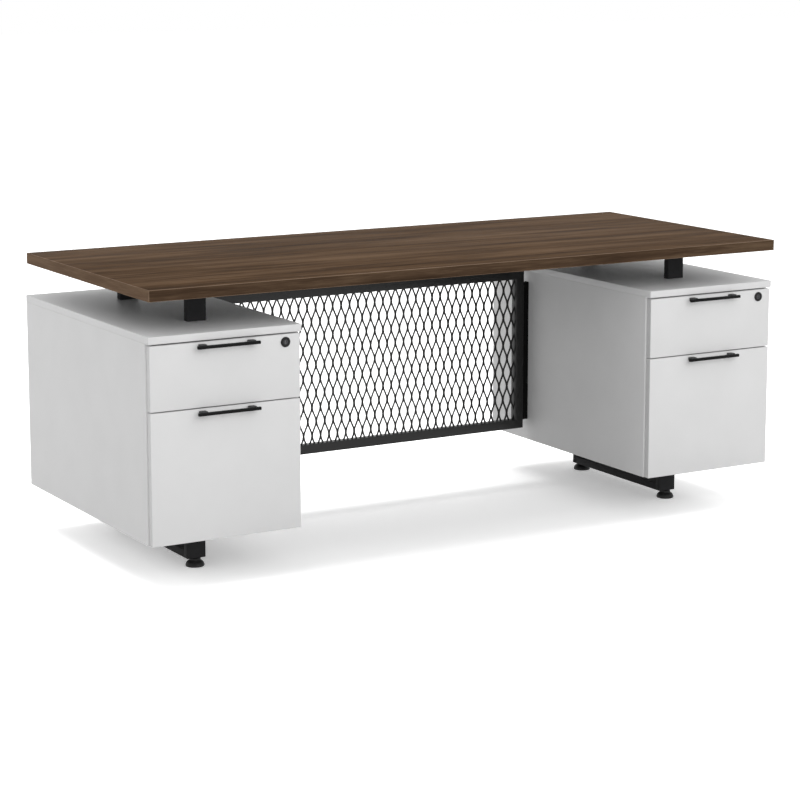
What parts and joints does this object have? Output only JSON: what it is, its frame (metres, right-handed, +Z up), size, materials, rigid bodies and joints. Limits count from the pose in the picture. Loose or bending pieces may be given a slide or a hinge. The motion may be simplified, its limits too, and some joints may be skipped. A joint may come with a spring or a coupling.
{
  "type": "office desk",
  "caption": "Double-pedestal office desk: a walnut worktop raised on posts over white drawer pedestals with locks, black sled bases and a mesh modesty panel between them.",
  "frame": {"origin": "on the floor, under the middle of the desk's outer box", "axes": "+X along the worktop to the right of the person at the desk, +Y from that person to the rear, +Z up"},
  "size_m": [1.829, 0.785, 0.724],
  "materials": {
    "walnut_laminate": "satin walnut laminate with straight grain along the worktop",
    "walnut_edge": "satin walnut edge band",
    "white_laminate": "satin white laminate on board",
    "grey_melamine": "light grey melamine on board",
    "black_powder_coat": "fine-textured black powder coat",
    "black_handle": "smooth satin black",
    "black_lock": "black plated bezel and barrel",
    "lock_metal": "dark plated plug",
    "black_plastic": "moulded black",
    "zinc_steel": "bright zinc plate"
  },
  "bodies": {
    "desk": {"worktop_panel": "walnut_laminate", "worktop_edge_bands": "walnut_edge", "modesty_frame": "black_powder_coat", "modesty_mesh": "black_powder_coat", "modesty_brackets": "black_powder_coat", "panel_screws": "zinc_steel", "post_bolts": "zinc_steel", "left_pedestal_top": "white_laminate", "left_outer_side": "white_laminate", "left_inner_side": "white_laminate", "left_case_bottom": "white_laminate", "left_case_back": "white_laminate", "left_case_runners": "zinc_steel", "left_lock_strike": "zinc_steel", "left_standoff_posts": "black_powder_coat", "left_sled_base": "black_powder_coat", "right_pedestal_top": "white_laminate", "right_outer_side": "white_laminate", "right_inner_side": "white_laminate", "right_case_bottom": "white_laminate", "right_case_back": "white_laminate", "right_case_runners": "zinc_steel", "right_lock_strike": "zinc_steel", "right_standoff_posts": "black_powder_coat", "right_sled_base": "black_powder_coat"},
    "left_front_glide": {"left_front_glide": "black_plastic"},
    "left_rear_glide": {"left_rear_glide": "black_plastic"},
    "left_upper_drawer": {"left_upper_drawer_front": "white_laminate", "left_upper_drawer_walls": "grey_melamine", "left_upper_drawer_bottom": "grey_melamine", "left_upper_handle": "black_handle", "left_upper_drawer_runners": "zinc_steel", "left_lock_housing": "black_lock"},
    "left_upper_middle": {"left_upper_middle_runners": "zinc_steel"},
    "left_lower_drawer": {"left_lower_drawer_front": "white_laminate", "left_lower_drawer_walls": "grey_melamine", "left_lower_drawer_bottom": "grey_melamine", "left_lower_handle": "black_handle", "left_lower_drawer_runners": "zinc_steel", "left_file_rails": "black_plastic"},
    "left_lower_middle": {"left_lower_middle_runners": "zinc_steel"},
    "left_lock": {"left_lock_plug": "lock_metal"},
    "right_front_glide": {"right_front_glide": "black_plastic"},
    "right_rear_glide": {"right_rear_glide": "black_plastic"},
    "right_upper_drawer": {"right_upper_drawer_front": "white_laminate", "right_upper_drawer_walls": "grey_melamine", "right_upper_drawer_bottom": "grey_melamine", "right_upper_handle": "black_handle", "right_upper_drawer_runners": "zinc_steel", "right_lock_housing": "black_lock"},
    "right_upper_middle": {"right_upper_middle_runners": "zinc_steel"},
    "right_lower_drawer": {"right_lower_drawer_front": "white_laminate", "right_lower_drawer_walls": "grey_melamine", "right_lower_drawer_bottom": "grey_melamine", "right_lower_handle": "black_handle", "right_lower_drawer_runners": "zinc_steel", "right_file_rails": "black_plastic"},
    "right_lower_middle": {"right_lower_middle_runners": "zinc_steel"},
    "right_lock": {"right_lock_plug": "lock_metal"}
  },
  "joints": [
    {"name": "left_front_glide_screw", "type": "slide", "parent": "desk", "child": "left_front_glide", "axis": [0, 0, -1], "range_m": [0, 0.012]},
    {"name": "left_rear_glide_screw", "type": "slide", "parent": "desk", "child": "left_rear_glide", "axis": [0, 0, -1], "range_m": [0, 0.012]},
    {"name": "left_upper_drawer_slide", "type": "slide", "parent": "desk", "child": "left_upper_drawer", "axis": [0, -1, 0], "range_m": [0, 0.55]},
    {"name": "left_upper_middle_slide", "type": "slide", "parent": "desk", "child": "left_upper_middle", "axis": [0, -1, 0], "range_m": [0, 0.275]},
    {"name": "left_lower_drawer_slide", "type": "slide", "parent": "desk", "child": "left_lower_drawer", "axis": [0, -1, 0], "range_m": [0, 0.55]},
    {"name": "left_lower_middle_slide", "type": "slide", "parent": "desk", "child": "left_lower_middle", "axis": [0, -1, 0], "range_m": [0, 0.275]},
    {"name": "left_lock_turn", "type": "hinge", "parent": "left_upper_drawer", "child": "left_lock", "pos_m": [-0.557, -0.3705, 0.572], "axis": [0, 1, 0], "range_deg": [0, 90]},
    {"name": "right_front_glide_screw", "type": "slide", "parent": "desk", "child": "right_front_glide", "axis": [0, 0, -1], "range_m": [0, 0.012]},
    {"name": "right_rear_glide_screw", "type": "slide", "parent": "desk", "child": "right_rear_glide", "axis": [0, 0, -1], "range_m": [0, 0.012]},
    {"name": "right_upper_drawer_slide", "type": "slide", "parent": "desk", "child": "right_upper_drawer", "axis": [0, -1, 0], "range_m": [0, 0.55]},
    {"name": "right_upper_middle_slide", "type": "slide", "parent": "desk", "child": "right_upper_middle", "axis": [0, -1, 0], "range_m": [0, 0.275]},
    {"name": "right_lower_drawer_slide", "type": "slide", "parent": "desk", "child": "right_lower_drawer", "axis": [0, -1, 0], "range_m": [0, 0.55]},
    {"name": "right_lower_middle_slide", "type": "slide", "parent": "desk", "child": "right_lower_middle", "axis": [0, -1, 0], "range_m": [0, 0.275]},
    {"name": "right_lock_turn", "type": "hinge", "parent": "right_upper_drawer", "child": "right_lock", "pos_m": [0.872, -0.3705, 0.572], "axis": [0, 1, 0], "range_deg": [0, 90]}
  ],
  "couplings": [
    {"joint": "left_upper_middle_slide", "follows": "left_upper_drawer_slide", "ratio": 0.5},
    {"joint": "left_lower_middle_slide", "follows": "left_lower_drawer_slide", "ratio": 0.5},
    {"joint": "right_upper_middle_slide", "follows": "right_upper_drawer_slide", "ratio": 0.5},
    {"joint": "right_lower_middle_slide", "follows": "right_lower_drawer_slide", "ratio": 0.5}
  ]
}
